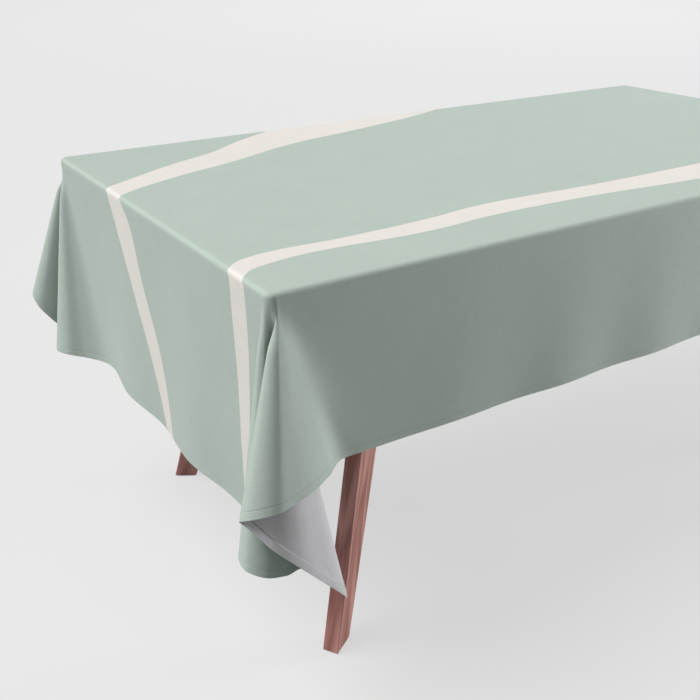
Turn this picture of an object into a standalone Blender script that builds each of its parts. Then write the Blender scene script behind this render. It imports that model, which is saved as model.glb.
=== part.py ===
"""A tablecloth laid over a dining table.

The cloth is one thin sheet: flat on the table, hanging straight down on all four
sides, with the spare fabric of each corner standing out in a fold. Under it is a
plain wooden table: a flat top on a frame of rails, with four blade legs that
stand diagonally in the frame's corners, splay outwards and taper to the floor.

Metres, +Z up. The origin is on the floor under the middle of the table, with +X
along the table's long side. Front is -Y and left is -X.
"""

import math

import bmesh
import bpy
from mathutils import Matrix, Vector

# Driving dimensions.
TABLE_HEIGHT = 0.75          # floor to the cloth's upper side
TOP_LENGTH = 1.645           # tabletop, along X
TOP_WIDTH = 0.880            # tabletop, along Y
TOP_THICKNESS = 0.025
TOP_CORNER_RADIUS = 0.012    # corners of the tabletop, seen from above
TOP_EDGE_ROUND = 0.003       # rounding along its upper and lower edges

CLOTH_THICKNESS = 0.001
LONG_DROP = 0.280            # overhang on the two long sides
END_DROP = 0.392             # overhang on the two ends
FOLD_SPREAD = 0.24           # how far a corner fold stands out, for each metre down
FOLD_REACH = 0.28            # where its two walls start, along the sides, for each metre down
FOLD_ROUND = 0.12            # rounding of its ridge, as a share of a wall

RAIL_HEIGHT = 0.085
RAIL_THICKNESS = 0.020
RAIL_EDGE_ROUND = 0.0015

LEG_TURN = math.radians(31.9)    # a leg's blade, turned from the long side
LEG_SPLAY = 0.300                # outward lean, for each metre of height
LEG_FOOT_WIDTH = 0.049
LEG_TOP_WIDTH = 0.0945           # before the seat for the corner block is cut
LEG_THICKNESS = 0.030
LEG_EDGE_ROUND = 0.002
FOOT_INSET_X = 0.1625            # tabletop's end to the middle of a foot
FOOT_INSET_Y = 0.1075            # tabletop's side to the middle of a foot
SEAT_HEIGHT = 0.095              # flat seat at a leg's inner edge, for the corner block
RAIL_SETBACK = 0.033             # seat to the rails' meeting point, back along the blade

BLOCK_THICKNESS = 0.020
PAD_THICKNESS = 0.002
PAD_MARGIN = 0.004               # pad to the edges of the foot

BOLT_RADIUS = 0.004
BOLT_DEPTH_IN_LEG = 0.036
BOLT_DROP = 0.045                # bolt's axis below the tabletop
BOLT_TAIL = 0.004                # bolt past the nut
WASHER_RADIUS = 0.011
WASHER_THICKNESS = 0.0016
NUT_WIDTH = 0.013                # across its flats
NUT_THICKNESS = 0.0065

BRACKET_ARM = 0.026
BRACKET_WIDTH = 0.022
BRACKET_THICKNESS = 0.0025
BRACKET_HOLE = 0.0142            # a screw's axis from the bracket's outer corner
LONG_BRACKET_X = 0.270           # brackets on the long rails, from the middle
SCREW_RADIUS = 0.0020
SCREW_LENGTH = 0.014             # under the head
SCREW_HEAD_RADIUS = 0.0042
SCREW_HEAD_HEIGHT = 0.0022

# Clearances.
GAP = 0.0003                     # between pieces that rest on or touch each other
CLOTH_SIDE_GAP = 0.0015          # between the cloth and the tabletop's sides
BOLT_CLEARANCE = 0.0005          # round a bolt in the corner block, washer or nut

# Smoothness.
CORNER_SEGMENTS = 4
ROUND_SIDES = 12
FOLD_STEPS = 10                  # across a corner fold
CLOTH_ROWS = 5

# Heights and places that follow from them.
TOP_UPPER = TABLE_HEIGHT - CLOTH_THICKNESS - GAP
TOP_UNDER = TOP_UPPER - TOP_THICKNESS
FRAME_UPPER = TOP_UNDER - GAP
LEG_FOOT = PAD_THICKNESS + GAP
FOOT_X = TOP_LENGTH / 2 - FOOT_INSET_X
FOOT_Y = TOP_WIDTH / 2 - FOOT_INSET_Y
RAIL_Z = FRAME_UPPER - RAIL_HEIGHT / 2
BOLT_Z = TOP_UNDER - BOLT_DROP
CORNERS = {
    "front_left": (-1, -1),
    "front_right": (1, -1),
    "back_left": (-1, 1),
    "back_right": (1, 1),
}


def leg_edge(side, height):
    """Distance along the blade from the foot's middle to a leg's edge, at a height."""
    width_gain = (LEG_TOP_WIDTH - LEG_FOOT_WIDTH) / FRAME_UPPER
    return LEG_SPLAY * height + side * (LEG_FOOT_WIDTH + width_gain * height) / 2


SEAT_S = leg_edge(1, FRAME_UPPER - SEAT_HEIGHT)
RAIL_X = FOOT_X - (SEAT_S - RAIL_SETBACK) * math.cos(LEG_TURN)
RAIL_Y = FOOT_Y - (SEAT_S - RAIL_SETBACK) * math.sin(LEG_TURN)


# Collections, materials and small helpers.

def clear_scene():
    for item in list(bpy.data.objects):
        bpy.data.objects.remove(item, do_unlink=True)


def new_collection(name):
    collection = bpy.data.collections.new(name)
    bpy.context.scene.collection.children.link(collection)
    return collection


def new_material(name, colour, roughness, metallic=0.0):
    material = bpy.data.materials.new(name)
    material.use_nodes = True
    shader = material.node_tree.nodes["Principled BSDF"]
    shader.inputs["Base Color"].default_value = (*colour, 1.0)
    shader.inputs["Roughness"].default_value = roughness
    shader.inputs["Metallic"].default_value = metallic
    material.diffuse_color = (*colour, 1.0)
    return material


def new_object(name, bm, material, smooth_angle=35.0):
    """Turns a bmesh into a named object in the part's collection."""
    mesh = bpy.data.meshes.new(name)
    bmesh.ops.recalc_face_normals(bm, faces=bm.faces)
    bm.to_mesh(mesh)
    bm.free()
    mesh.shade_smooth()
    mesh.set_sharp_from_angle(angle=math.radians(smooth_angle))
    item = bpy.data.objects.new(name, mesh)
    item.data.materials.append(material)
    PARTS.objects.link(item)
    return item


def box_bmesh(size_x, size_y, size_z):
    """A box centred on the origin."""
    bm = bmesh.new()
    scale = Matrix.Diagonal((size_x, size_y, size_z, 1.0))
    bmesh.ops.create_cube(bm, size=1.0, matrix=scale)
    return bm


def cylinder_bmesh(radius, length, sides=ROUND_SIDES):
    """A cylinder centred on the origin, along Z."""
    bm = bmesh.new()
    bmesh.ops.create_cone(
        bm, cap_ends=True, segments=sides, radius1=radius, radius2=radius, depth=length
    )
    return bm


def trim(bm, point, outward):
    """Cuts away what lies on a plane's outward side, and closes the cut."""
    geometry = bm.verts[:] + bm.edges[:] + bm.faces[:]
    cut = bmesh.ops.bisect_plane(
        bm, geom=geometry, plane_co=point, plane_no=outward, clear_outer=True
    )
    rim = [part for part in cut["geom_cut"] if isinstance(part, bmesh.types.BMEdge)]
    bmesh.ops.holes_fill(bm, edges=rim, sides=0)


def bevel_modifier(item, width, segments=2):
    bevel = item.modifiers.new("rounded_edges", "BEVEL")
    bevel.width = width
    bevel.segments = segments
    bevel.limit_method = "ANGLE"
    bevel.angle_limit = math.radians(30.0)


def cutter(name, bm, place):
    """A guide object that a Boolean subtracts from another piece."""
    mesh = bpy.data.meshes.new(name)
    bmesh.ops.recalc_face_normals(bm, faces=bm.faces)
    bm.to_mesh(mesh)
    bm.free()
    item = bpy.data.objects.new(name, mesh)
    item.matrix_world = place
    item.hide_render = True
    item.display_type = "WIRE"
    CUTTERS.objects.link(item)
    return item


def subtract(item, tool):
    boolean = item.modifiers.new(tool.name, "BOOLEAN")
    boolean.operation = "DIFFERENCE"
    boolean.solver = "EXACT"
    boolean.object = tool


def drill(item, name, start, direction, radius, depth):
    """Cuts a round hole, from a point outside a face to a depth past that point."""
    axis = Vector(direction).normalized()
    middle = Vector(start) + axis * depth / 2
    turn = axis.to_track_quat("Z", "Y").to_matrix().to_4x4()
    place = Matrix.Translation(middle) @ turn
    subtract(item, cutter(name, cylinder_bmesh(radius, depth), place))


# The leg's own frame: +X runs inwards along the blade, from the foot's middle.

def leg_angle(corner):
    side_x, side_y = CORNERS[corner]
    return math.atan2(-side_y * math.sin(LEG_TURN), -side_x * math.cos(LEG_TURN))


def leg_place(corner):
    side_x, side_y = CORNERS[corner]
    foot = Matrix.Translation((side_x * FOOT_X, side_y * FOOT_Y, 0.0))
    return foot @ Matrix.Rotation(leg_angle(corner), 4, "Z")


def blade_axes(corner):
    """World directions along the blade, inwards, and across it."""
    turn = leg_place(corner).to_3x3()
    return turn @ Vector((1, 0, 0)), turn @ Vector((0, 1, 0))


# The table.

def make_tabletop(material):
    bm = box_bmesh(TOP_LENGTH, TOP_WIDTH, TOP_THICKNESS)
    upright = [e for e in bm.edges if abs(e.verts[0].co.z - e.verts[1].co.z) > TOP_THICKNESS / 2]
    bmesh.ops.bevel(
        bm, geom=upright, offset=TOP_CORNER_RADIUS, segments=CORNER_SEGMENTS,
        profile=0.5, affect="EDGES",
    )
    top = new_object("tabletop", bm, material)
    top.location = (0.0, 0.0, TOP_UNDER + TOP_THICKNESS / 2)
    bevel_modifier(top, TOP_EDGE_ROUND)
    return top


def trim_to_leg(bm, corner, centre):
    """Cuts a rail's end to lie along the side of a leg, a small gap away."""
    _, across = blade_axes(corner)
    foot = leg_place(corner).translation
    facing = 1 if (centre - foot).dot(across) > 0 else -1
    face = foot + across * facing * (LEG_THICKNESS / 2 + GAP)
    trim(bm, face - centre, -facing * across)


def make_rail(name, centre, size, corners, material):
    bm = box_bmesh(*size)
    for corner in corners:
        trim_to_leg(bm, corner, centre)
    rail = new_object(name, bm, material)
    rail.location = centre
    bevel_modifier(rail, RAIL_EDGE_ROUND, segments=1)
    return rail


def make_rails(material):
    long_size = (2 * FOOT_X, RAIL_THICKNESS, RAIL_HEIGHT)
    end_size = (RAIL_THICKNESS, 2 * FOOT_Y, RAIL_HEIGHT)
    places = {
        "rail_front": ((0, -RAIL_Y, RAIL_Z), long_size, ("front_left", "front_right")),
        "rail_back": ((0, RAIL_Y, RAIL_Z), long_size, ("back_left", "back_right")),
        "rail_left": ((-RAIL_X, 0, RAIL_Z), end_size, ("front_left", "back_left")),
        "rail_right": ((RAIL_X, 0, RAIL_Z), end_size, ("front_right", "back_right")),
    }
    rails = {
        name: make_rail(name, Vector(centre), size, corners, material)
        for name, (centre, size, corners) in places.items()
    }
    span = 2 * (RAIL_Y - RAIL_THICKNESS / 2 - GAP)
    rails["cross_rail"] = make_rail(
        "cross_rail", Vector((0, 0, RAIL_Z)), (RAIL_THICKNESS, span, RAIL_HEIGHT), (), material
    )
    return rails


def make_leg(corner, material):
    """A tapered blade that leans outwards, with a flat upright seat at its inner edge."""
    height = FRAME_UPPER - LEG_FOOT
    bm = box_bmesh(1.0, LEG_THICKNESS, height)
    for vert in bm.verts:
        level = LEG_FOOT if vert.co.z < 0 else FRAME_UPPER
        vert.co.x = leg_edge(1 if vert.co.x > 0 else -1, level)
        vert.co.z = level
    trim(bm, Vector((SEAT_S, 0, 0)), Vector((1, 0, 0)))
    leg = new_object("leg_" + corner, bm, material)
    leg.matrix_world = leg_place(corner)
    bevel_modifier(leg, LEG_EDGE_ROUND)
    return leg


def make_foot_pad(corner, material):
    middle = LEG_SPLAY * LEG_FOOT
    length = LEG_FOOT_WIDTH - 2 * PAD_MARGIN
    width = LEG_THICKNESS - 2 * PAD_MARGIN
    bm = box_bmesh(length, width, PAD_THICKNESS)
    upright = [e for e in bm.edges if abs(e.verts[0].co.z - e.verts[1].co.z) > PAD_THICKNESS / 2]
    bmesh.ops.bevel(bm, geom=upright, offset=PAD_MARGIN, segments=2, profile=0.5, affect="EDGES")
    pad = new_object("foot_pad_" + corner, bm, material)
    pad.matrix_world = leg_place(corner) @ Matrix.Translation((middle, 0, PAD_THICKNESS / 2))
    return pad


def make_corner_block(corner, material):
    """A block across the frame's corner, between the two rails' inner faces."""
    side_x, side_y = CORNERS[corner]
    place = leg_place(corner)
    block_s = SEAT_S + GAP + BLOCK_THICKNESS / 2
    centre = place @ Vector((block_s, 0, RAIL_Z))
    along, across = blade_axes(corner)
    bm = box_bmesh(BLOCK_THICKNESS, 2 * RAIL_Y, RAIL_HEIGHT - 2 * GAP)
    inner_faces = (
        (Vector((side_x, 0, 0)), RAIL_X - RAIL_THICKNESS / 2 - GAP),
        (Vector((0, side_y, 0)), RAIL_Y - RAIL_THICKNESS / 2 - GAP),
    )
    for outward, reach in inner_faces:
        beyond = reach - centre.dot(outward)
        local = Vector((outward.dot(along), outward.dot(across), 0.0))
        trim(bm, local * beyond, local)
    block = new_object("corner_block_" + corner, bm, material)
    block.matrix_world = Matrix.Translation(centre) @ Matrix.Rotation(leg_angle(corner), 4, "Z")
    bevel_modifier(block, RAIL_EDGE_ROUND, segments=1)
    return block


# Fasteners.

def make_leg_fasteners(corner, leg, block, material):
    """A hanger bolt from the leg's seat through the block, with its washer and nut."""
    place = leg_place(corner)
    along, _ = blade_axes(corner)
    upright = Matrix.Rotation(math.radians(90.0), 4, "Y")
    hole = BOLT_RADIUS + BOLT_CLEARANCE
    block_inner = SEAT_S + GAP + BLOCK_THICKNESS
    washer_s = block_inner + GAP
    nut_s = washer_s + WASHER_THICKNESS + GAP
    bolt_start = SEAT_S - BOLT_DEPTH_IN_LEG
    bolt_end = nut_s + NUT_THICKNESS + BOLT_TAIL

    def at(distance):
        return place @ Matrix.Translation((distance, 0, BOLT_Z)) @ upright

    bolt = new_object(
        "hanger_bolt_" + corner, cylinder_bmesh(BOLT_RADIUS, bolt_end - bolt_start), material
    )
    bolt.matrix_world = at((bolt_start + bolt_end) / 2)

    washer = new_object(
        "washer_" + corner, cylinder_bmesh(WASHER_RADIUS, WASHER_THICKNESS), material
    )
    washer.matrix_world = at(washer_s + WASHER_THICKNESS / 2)

    hexagon = NUT_WIDTH / math.sqrt(3.0)
    nut = new_object("nut_" + corner, cylinder_bmesh(hexagon, NUT_THICKNESS, sides=6), material)
    nut.matrix_world = at(nut_s + NUT_THICKNESS / 2)

    outside = place @ Vector((bolt_end + BOLT_TAIL, 0, BOLT_Z))
    bore_length = bolt_end + BOLT_TAIL - bolt_start + BOLT_CLEARANCE
    for piece in (leg, block, washer, nut):
        drill(piece, f"bore_{piece.name}", outside, -along, hole, bore_length)


def make_screw(name, place, material):
    """A pan-head screw turned about +Z, its head's underside at the origin."""
    profile = (
        (0.0, SCREW_HEAD_HEIGHT),
        (SCREW_HEAD_RADIUS * 0.7, SCREW_HEAD_HEIGHT),
        (SCREW_HEAD_RADIUS, SCREW_HEAD_HEIGHT * 0.4),
        (SCREW_HEAD_RADIUS, 0.0),
        (SCREW_RADIUS, 0.0),
        (SCREW_RADIUS, -SCREW_LENGTH * 0.8),
        (0.0, -SCREW_LENGTH),
    )
    bm = bmesh.new()
    points = [bm.verts.new((radius, 0.0, height)) for radius, height in profile]
    for upper, lower in zip(points, points[1:]):
        bm.edges.new((upper, lower))
    mesh = bpy.data.meshes.new(name)
    bm.to_mesh(mesh)
    bm.free()
    mesh.materials.append(material)
    item = bpy.data.objects.new(name, mesh)
    PARTS.objects.link(item)
    item.matrix_world = place
    turn = item.modifiers.new("turned", "SCREW")
    turn.axis = "Z"
    turn.steps = 8
    turn.render_steps = 8
    turn.use_merge_vertices = True
    turn.merge_threshold = 0.00001
    turn.use_smooth_shade = True
    return item


def make_bracket(name, corner_point, into_room, rail, top, material):
    """An angle bracket in the corner between a rail's inner face and the tabletop.

    corner_point is where the rail's inner face meets the tabletop's underside, and
    into_room is the direction from the rail towards the middle of the table.
    """
    outward = Vector(into_room)
    sideways = Vector((0, 0, 1)).cross(outward)
    axes = Matrix((outward, sideways, Vector((0, 0, 1)))).transposed().to_4x4()
    corner = Vector(corner_point) + outward * GAP - Vector((0, 0, GAP))
    place = Matrix.Translation(corner) @ axes
    half = BRACKET_ARM / 2
    bm = box_bmesh(BRACKET_ARM, BRACKET_WIDTH, BRACKET_ARM)
    bmesh.ops.translate(bm, verts=bm.verts, vec=(half, 0, -half))
    bracket = new_object(name, bm, material)
    bracket.matrix_world = place

    room = box_bmesh(BRACKET_ARM, 2 * BRACKET_WIDTH, BRACKET_ARM)
    middle = BRACKET_THICKNESS + half
    room_place = place @ Matrix.Translation((middle, 0, -middle))
    subtract(bracket, cutter("room_" + name, room, room_place))

    hole = SCREW_RADIUS + GAP
    seat = BRACKET_THICKNESS + GAP
    facings = {
        "top": (Vector((BRACKET_HOLE, 0, -seat)), Vector((0, 0, -1)), top),
        "rail": (Vector((seat, 0, -BRACKET_HOLE)), Vector((1, 0, 0)), rail),
    }
    for side, (spot, head_way, held) in facings.items():
        turn = head_way.to_track_quat("Z", "Y").to_matrix().to_4x4()
        screw_place = place @ Matrix.Translation(spot) @ turn
        screw = make_screw(f"screw_{side}_{name}", screw_place, material)
        head_dir = (place.to_3x3() @ head_way).normalized()
        start = screw_place.translation + head_dir * SCREW_HEAD_HEIGHT
        depth = SCREW_HEAD_HEIGHT + SCREW_LENGTH + GAP
        drill(bracket, f"hole_{screw.name}", start, -head_dir, hole, depth)
        drill(held, f"pilot_{screw.name}", start, -head_dir, hole, depth)
    return bracket


def make_brackets(rails, top, material):
    inner_x = RAIL_X - RAIL_THICKNESS / 2
    inner_y = RAIL_Y - RAIL_THICKNESS / 2
    places = {
        "bracket_front_left": ((-LONG_BRACKET_X, -inner_y), (0, 1, 0), "rail_front"),
        "bracket_front_right": ((LONG_BRACKET_X, -inner_y), (0, 1, 0), "rail_front"),
        "bracket_back_left": ((-LONG_BRACKET_X, inner_y), (0, -1, 0), "rail_back"),
        "bracket_back_right": ((LONG_BRACKET_X, inner_y), (0, -1, 0), "rail_back"),
        "bracket_end_left": ((-inner_x, 0), (1, 0, 0), "rail_left"),
        "bracket_end_right": ((inner_x, 0), (-1, 0, 0), "rail_right"),
    }
    for name, ((x, y), into_room, rail) in places.items():
        make_bracket(name, (x, y, TOP_UNDER), into_room, rails[rail], top, material)


# The cloth.

def cloth_outline():
    """A quarter of the sheet's plan, from the right end's middle to the back's middle.

    Gives, for each point: its place at the table's edge, the side's outward normal,
    its drift outwards for each metre further down, and the overhang there.
    """
    half_x = TOP_LENGTH / 2 + CLOTH_SIDE_GAP + CLOTH_THICKNESS
    half_y = TOP_WIDTH / 2 + CLOTH_SIDE_GAP + CLOTH_THICKNESS
    radius = TOP_CORNER_RADIUS + CLOTH_SIDE_GAP + CLOTH_THICKNESS
    centre = Vector((half_x - radius, half_y - radius, 0))
    ridge = Vector((1, 1, 0)).normalized() * FOLD_SPREAD
    walls = (Vector((0, -FOLD_REACH, 0)), Vector((-FOLD_REACH, 0, 0)))
    tip_drop = math.hypot(LONG_DROP, END_DROP)
    points = [(Vector((half_x, 0, 0)), Vector((1, 0, 0)), Vector(), END_DROP)]
    for step in range(FOLD_STEPS + 1):
        share = step / FOLD_STEPS
        normal = Vector((math.cos(share * math.pi / 2), math.sin(share * math.pi / 2), 0))
        from_ridge = 2 * share - 1
        off_ridge = math.hypot(from_ridge, FOLD_ROUND) / math.hypot(1, FOLD_ROUND)
        drift = ridge.lerp(walls[from_ridge > 0], off_ridge)
        side_drop = END_DROP + (LONG_DROP - END_DROP) * share
        drop = tip_drop + (side_drop - tip_drop) * abs(from_ridge)
        points.append((centre + normal * radius, normal, drift, drop))
    points.append((Vector((0, half_y, 0)), Vector((0, 1, 0)), Vector(), LONG_DROP))
    return points


def make_cloth(material):
    """A quarter of the outer skin, mirrored twice and given its thickness inwards."""
    bend = TOP_EDGE_ROUND + CLOTH_THICKNESS
    outline = cloth_outline()
    bm = bmesh.new()
    rows = []
    for angle in (0.0, math.pi / 4, math.pi / 2):
        inset = bend * (1.0 - math.sin(angle))
        level = Vector((0, 0, TABLE_HEIGHT - bend * (1.0 - math.cos(angle))))
        rows.append([bm.verts.new(place - normal * inset + level)
                     for place, normal, _, _ in outline])
    for step in range(1, CLOTH_ROWS + 1):
        row = []
        for place, _, drift, drop in outline:
            hang = (drop - bend) * step / CLOTH_ROWS
            level = Vector((0, 0, TABLE_HEIGHT - bend - hang))
            row.append(bm.verts.new(place + drift * hang + level))
        rows.append(row)
    middle = bm.verts.new((0, 0, TABLE_HEIGHT))
    bm.faces.new([middle] + rows[0])
    for upper, lower in zip(rows, rows[1:]):
        for index in range(len(upper) - 1):
            bm.faces.new((upper[index], lower[index], lower[index + 1], upper[index + 1]))
    cloth = new_object("tablecloth", bm, material)
    mirror = cloth.modifiers.new("four_quarters", "MIRROR")
    mirror.use_axis = (True, True, False)
    mirror.merge_threshold = 0.0001
    skin = cloth.modifiers.new("thickness", "SOLIDIFY")
    skin.thickness = CLOTH_THICKNESS
    skin.offset = -1.0
    skin.use_even_offset = True
    return cloth


clear_scene()
PARTS = new_collection("tablecloth_on_table")
CUTTERS = new_collection("cutters")


def build():
    wood = new_material("dark_wood", (0.23, 0.12, 0.10), 0.45)
    frame_wood = new_material("frame_wood", (0.35, 0.22, 0.14), 0.60)
    steel = new_material("zinc_steel", (0.62, 0.62, 0.60), 0.35, metallic=1.0)
    felt = new_material("felt", (0.12, 0.11, 0.10), 0.95)
    fabric = new_material("sage_cloth", (0.50, 0.58, 0.52), 0.80)

    top = make_tabletop(frame_wood)
    rails = make_rails(frame_wood)
    for corner in CORNERS:
        leg = make_leg(corner, wood)
        block = make_corner_block(corner, frame_wood)
        make_foot_pad(corner, felt)
        make_leg_fasteners(corner, leg, block, steel)
    make_brackets(rails, top, steel)
    make_cloth(fabric)


build()
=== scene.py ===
# %% [markdown]
# # A tablecloth on its table
# This notebook dresses a small dining table with its cloth. The table and the room that the cloth takes up
# come ready made, as a frame of solid parts that must not move. Everything soft is made here: one sheet of
# coated cotton, printed with two cream bands on sage green, hemmed, and folded round the table's corners.
# %% Load the frame
import math

import bpy
import numpy as np
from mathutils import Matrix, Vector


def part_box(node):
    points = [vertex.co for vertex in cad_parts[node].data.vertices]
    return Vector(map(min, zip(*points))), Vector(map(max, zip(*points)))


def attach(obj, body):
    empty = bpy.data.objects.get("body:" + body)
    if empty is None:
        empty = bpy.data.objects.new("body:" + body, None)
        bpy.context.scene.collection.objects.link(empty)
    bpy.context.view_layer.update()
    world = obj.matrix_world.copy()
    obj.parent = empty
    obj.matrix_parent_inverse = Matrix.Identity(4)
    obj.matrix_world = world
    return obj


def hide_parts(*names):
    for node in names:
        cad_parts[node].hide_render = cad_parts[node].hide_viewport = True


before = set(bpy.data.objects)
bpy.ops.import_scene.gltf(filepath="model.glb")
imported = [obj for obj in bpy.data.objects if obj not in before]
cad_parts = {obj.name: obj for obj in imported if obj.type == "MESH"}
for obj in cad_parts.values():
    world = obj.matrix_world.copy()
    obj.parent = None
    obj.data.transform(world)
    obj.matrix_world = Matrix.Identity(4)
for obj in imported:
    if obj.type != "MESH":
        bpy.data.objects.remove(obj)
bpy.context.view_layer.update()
scene = bpy.context.scene
print(len(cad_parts), "parts in the frame")

# %% [markdown]
# ## Camera and light
# The table is seen from a sitting person's height, past its near left corner. It stands on an endless pale
# floor, so one big plane is both floor and backdrop. Four lamps and a weak even sky light it. A wide soft
# lamp high on the left leaves the long side of the cloth darker than its end. A stronger one low on the
# right shades the folds from the side, a weak one fills in the end, and a big one far behind keeps the
# floor pale. A bright even sky alone would be simpler, but it would light every side of the cloth alike.
# %% Camera
EYE = (-1.307, -1.377, 1.1716)
LOOK_DOWN = math.radians(25.44)
HEADING = math.radians(57.05)
LENS = 46.02

lens = bpy.data.cameras.new("view_camera")
lens.lens = LENS
lens.sensor_width = 36.0
camera = bpy.data.objects.new("view_camera", lens)
camera.location = EYE
camera.rotation_euler = (math.pi / 2 - LOOK_DOWN, 0, HEADING - math.pi / 2)
scene.collection.objects.link(camera)
scene.camera = camera
print("camera", round(math.hypot(EYE[0], EYE[1]), 2), "m from the table's middle")


# %% Lamps and sky
def lamp(name, kind, place, aim, power, spread):
    """A soft lamp at place whose beam, its own -Z, points at aim; spread is its width, or a sun's angle."""
    light = bpy.data.lights.new(name, kind)
    light.energy = power
    if kind == "SUN":
        light.angle = spread
    else:
        light.size = spread
    made = bpy.data.objects.new(name, light)
    made.location = place
    away = np.subtract(place, aim)
    flat = math.hypot(away[0], away[1])
    made.rotation_euler = (math.atan2(flat, away[2]), 0, math.atan2(away[1], away[0]) + math.pi / 2)
    scene.collection.objects.link(made)
    return made


SKY = 0.17

scene.view_settings.view_transform = "Standard"
lamp("key_lamp", "SUN", (-2.45, 1.47, 4.5), (0, 0, 0.6), 3.0, math.radians(45))
lamp("side_lamp", "AREA", (3.6, -1.5, 0.75), (0.0, -0.5, 0.4), 128, 1.4)
lamp("left_lamp", "AREA", (-4.2, 1.6, 1.2), (-0.8, 0.0, 0.45), 14, 1.5)
lamp("back_lamp", "AREA", (9.0, 9.0, 6.0), (9.0, 9.0, 0), 200, 9.0)
world = bpy.data.worlds.new("studio")
scene.world = world
world.use_nodes = True
world.node_tree.nodes["Background"].inputs["Color"].default_value = (1.0, 1.0, 1.0, 1)
world.node_tree.nodes["Background"].inputs["Strength"].default_value = SKY


# %% [markdown]
# ## Small tools
# A material is a graph of nodes. A few helpers keep the graphs short: one adds a node and sets its values,
# one does arithmetic, and the others make the nodes that come up most. Effects that several finishes share
# are node groups with named inputs and outputs.
# %% Node helpers
class Graph:
    """A node tree with short ways to add nodes, sums and links."""

    def __init__(self, tree):
        self.tree = tree

    def node(self, kind, inputs=None, **settings):
        """Adds one node; inputs maps a socket's name or number to a value or to another node's output."""
        made = self.tree.nodes.new(kind)
        for key, value in settings.items():
            setattr(made, key, value)
        for key, value in (inputs or {}).items():
            self.feed(made.inputs[key], value)
        return made

    def feed(self, socket, value):
        """Links an output to the socket, or sets the socket's own value."""
        if isinstance(value, bpy.types.NodeSocket):
            self.tree.links.new(value, socket)
        else:
            socket.default_value = value

    def math(self, operation, *values):
        """One arithmetic step on one to three numbers or outputs."""
        return self.node("ShaderNodeMath", dict(enumerate(values)), operation=operation).outputs[0]

    def mix(self, factor, first, second):
        """A colour between first, at factor 0, and second, at factor 1."""
        made = self.node("ShaderNodeMix", {"Factor": factor}, data_type="RGBA")
        self.feed(made.inputs["A"], first)
        self.feed(made.inputs["B"], second)
        return made.outputs["Result"]

    def noise(self, vector, scale, detail=3.0, distortion=0.0):
        """Cloudy noise from 0 to 1, with its mean near a half."""
        inputs = {"Vector": vector, "Scale": scale, "Detail": detail, "Distortion": distortion}
        return self.node("ShaderNodeTexNoise", inputs).outputs["Fac"]

    def ramp(self, value, low, high, to_low=0.0, to_high=1.0):
        """Carries value from low..high to to_low..to_high, clamped."""
        ends = {"Value": value, "From Min": low, "From Max": high, "To Min": to_low, "To Max": to_high}
        return self.node("ShaderNodeMapRange", ends).outputs["Result"]

    def stretch(self, vector, factors):
        """A place with each coordinate times its own factor: a small factor draws a pattern out that way."""
        return self.node("ShaderNodeVectorMath", {0: vector, 1: factors}, operation="MULTIPLY").outputs[0]

    def tint(self, colour, amount):
        """A colour times a number."""
        return self.node("ShaderNodeVectorMath", {0: colour, "Scale": amount}, operation="SCALE").outputs[0]


def group(name, inputs, outputs):
    """An empty node group with named sockets; returns its graph, its input sockets and its output node."""
    tree = bpy.data.node_groups.new(name, "ShaderNodeTree")
    kinds = {"value": "NodeSocketFloat", "colour": "NodeSocketColor", "vector": "NodeSocketVector"}
    for label, kind in inputs:
        tree.interface.new_socket(label, in_out="INPUT", socket_type=kinds[kind])
    for label, kind in outputs:
        tree.interface.new_socket(label, in_out="OUTPUT", socket_type=kinds[kind])
    graph = Graph(tree)
    return graph, graph.node("NodeGroupInput").outputs, graph.node("NodeGroupOutput")


def material(name, **sockets):
    """A Principled material with its plain numbers on the shader's own sockets; returns it and its graph."""
    made = bpy.data.materials.new(name)
    made.use_nodes = True
    graph = Graph(made.node_tree)
    graph.shader = made.node_tree.nodes["Principled BSDF"]
    for label, value in sockets.items():
        graph.shader.inputs[label.replace("_", " ")].default_value = value
    return made, graph


def bump(graph, height, distance, strength):
    """Feeds a height in 0..1 to the shader's normal as relief, distance metres deep."""
    inputs = {"Height": height, "Distance": distance, "Strength": strength}
    bumped = graph.node("ShaderNodeBump", inputs)
    graph.feed(graph.shader.inputs["Normal"], bumped.outputs["Normal"])


def rgb(red, green, blue):
    """A display colour, 0 to 255, as the linear colour that a shader takes, by the sRGB curve."""
    share = np.array([red, green, blue]) / 255
    linear = np.where(share <= 0.04045, share / 12.92, ((share + 0.055) / 1.055) ** 2.4)
    return (*linear.tolist(), 1.0)


print("helpers ready")

# %% [markdown]
# ## Floor
# The floor is a studio sweep: matt and pale, with no edge inside the view. A real sweep is lit by lamps of
# its own, so shadows on it stay light. Here a little glow that only the eye sees does that, and the floor
# gives the object no more light than a grey one would.
# %% Floor
FLOOR_REACH = 60.0
SEEN_GREY = (0.20, 0.20, 0.20, 1)
UNSEEN_GREY = (0.28, 0.28, 0.28, 1)
GLOW = 0.60

floor_mesh = bpy.data.meshes.new("studio_floor")
corners = [(-FLOOR_REACH, -FLOOR_REACH), (FLOOR_REACH, -FLOOR_REACH), (FLOOR_REACH, FLOOR_REACH),
           (-FLOOR_REACH, FLOOR_REACH)]
floor_mesh.from_pydata([(x, y, 0.0) for x, y in corners], [], [(0, 1, 2, 3)])
floor = bpy.data.objects.new("studio_floor", floor_mesh)
scene.collection.objects.link(floor)
floor_paint, graph = material("floor_paint", Base_Color=SEEN_GREY, Roughness=1.0, Specular_IOR_Level=0.0,
                              Emission_Color=(1, 1, 1, 1), Emission_Strength=GLOW)
seen = graph.node("ShaderNodeLightPath").outputs["Is Camera Ray"]
unseen = graph.node("ShaderNodeBsdfDiffuse", {"Color": UNSEEN_GREY})
either = graph.node("ShaderNodeMixShader", {0: seen, 1: unseen.outputs[0], 2: graph.shader.outputs[0]})
graph.feed(graph.tree.nodes["Material Output"].inputs["Surface"], either.outputs[0])
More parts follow.
